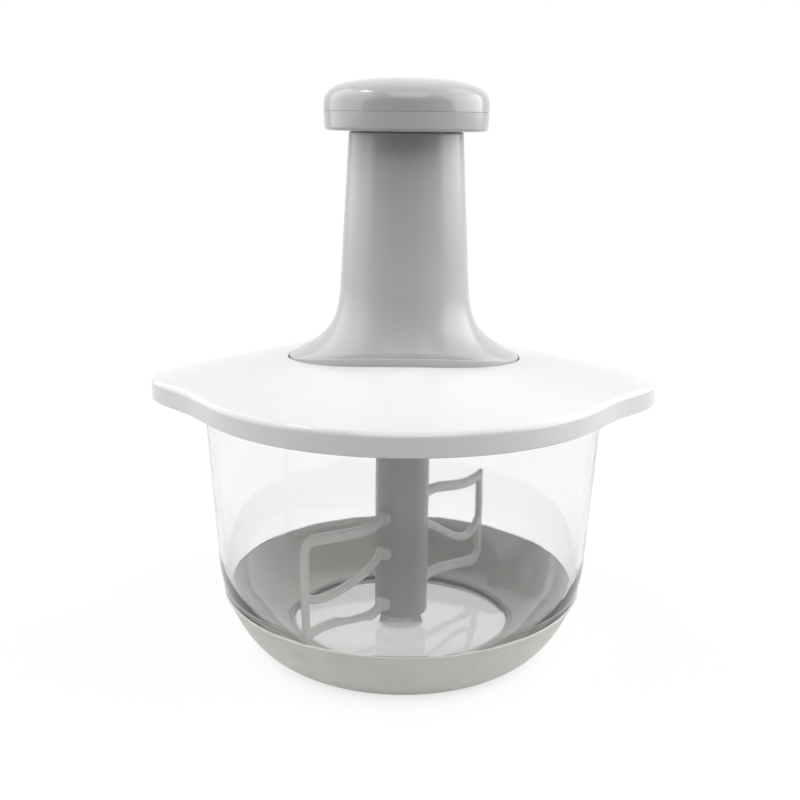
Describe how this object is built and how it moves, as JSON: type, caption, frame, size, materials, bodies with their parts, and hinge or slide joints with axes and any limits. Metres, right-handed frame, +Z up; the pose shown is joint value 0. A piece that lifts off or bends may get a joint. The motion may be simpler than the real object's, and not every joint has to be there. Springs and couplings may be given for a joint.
{
  "type": "press-down food chopper",
  "caption": "Press-down food chopper: a knob on a tall column drives whisk paddles through a spiral rod in a clear bowl with an eared lid.",
  "frame": {"origin": "on the table under the bowl's centre, at the bottom centre of the bounding box", "axes": "+Z up along the column, +X along the lid's ears, -Y towards the front"},
  "size_m": [0.195, 0.1572, 0.2179],
  "materials": {
    "clear_plastic": "clear, polished, injection moulded",
    "soft_grip": "warm grey thermoplastic rubber, fine matt",
    "grey_plastic": "light grey, semi-gloss, injection moulded",
    "paddle_plastic": "grey, satin, injection moulded",
    "white_plastic": "white, glossy, injection moulded",
    "seal_silicone": "pale silicone",
    "natural_nylon": "unpigmented, matt",
    "black_nylon": "black, matt",
    "steel": "stainless, drawn"
  },
  "bodies": {
    "bowl": {"bowl": "clear_plastic", "grip_base": "soft_grip", "pivot_pin": "steel"},
    "beater": {"beater_shaft": "grey_plastic", "shaft_bush": "natural_nylon", "whisk_paddle_right": "paddle_plastic", "whisk_paddle_left": "paddle_plastic"},
    "lid": {"lid_shell": "white_plastic", "lid_liner": "white_plastic", "lid_seal": "seal_silicone", "column": "grey_plastic", "guide_collar": "natural_nylon", "drive_housing": "black_nylon", "housing_cover": "black_nylon", "upper_thrust_washer": "steel", "lower_thrust_washer": "steel", "spring_seat": "natural_nylon", "return_spring": "steel", "column_screw_1": "steel", "column_screw_2": "steel", "column_screw_3": "steel", "column_screw_4": "steel", "cover_screw_1": "steel", "cover_screw_2": "steel", "cover_screw_3": "steel"},
    "plunger": {"plunger_tube": "grey_plastic", "stop_ring": "natural_nylon", "spiral_rod": "steel", "rod_screw": "steel", "knob_base": "grey_plastic", "knob_cap": "grey_plastic"},
    "driver": {"drive_nut": "natural_nylon"},
    "output": {"output_hub": "natural_nylon"}
  },
  "joints": [
    {"name": "lid_lift", "type": "slide", "parent": "bowl", "child": "lid", "axis": [0, 0, 1], "range_m": [0, 0.12]},
    {"name": "press_slide", "type": "slide", "parent": "lid", "child": "plunger", "axis": [0, 0, 1], "range_m": [0, 0.06], "deforming": ["return_spring"]},
    {"name": "nut_spin", "type": "hinge", "parent": "lid", "child": "driver", "pos_m": [0, 0, 0.102], "axis": [0, 0, 1], "range_deg": [-540, 0]},
    {"name": "hub_spin", "type": "hinge", "parent": "lid", "child": "output", "pos_m": [0, 0, 0.095], "axis": [0, 0, 1], "range_deg": [-540, 0]},
    {"name": "beater_spin", "type": "hinge", "parent": "bowl", "child": "beater", "pos_m": [0, 0, 0.028], "axis": [0, 0, 1], "range_deg": [-540, 0]}
  ],
  "couplings": [
    {"joint": "nut_spin", "follows": "press_slide", "rad_per_m": -157.08},
    {"joint": "hub_spin", "follows": "press_slide", "rad_per_m": -157.08},
    {"joint": "beater_spin", "follows": "press_slide", "rad_per_m": -157.08}
  ]
}
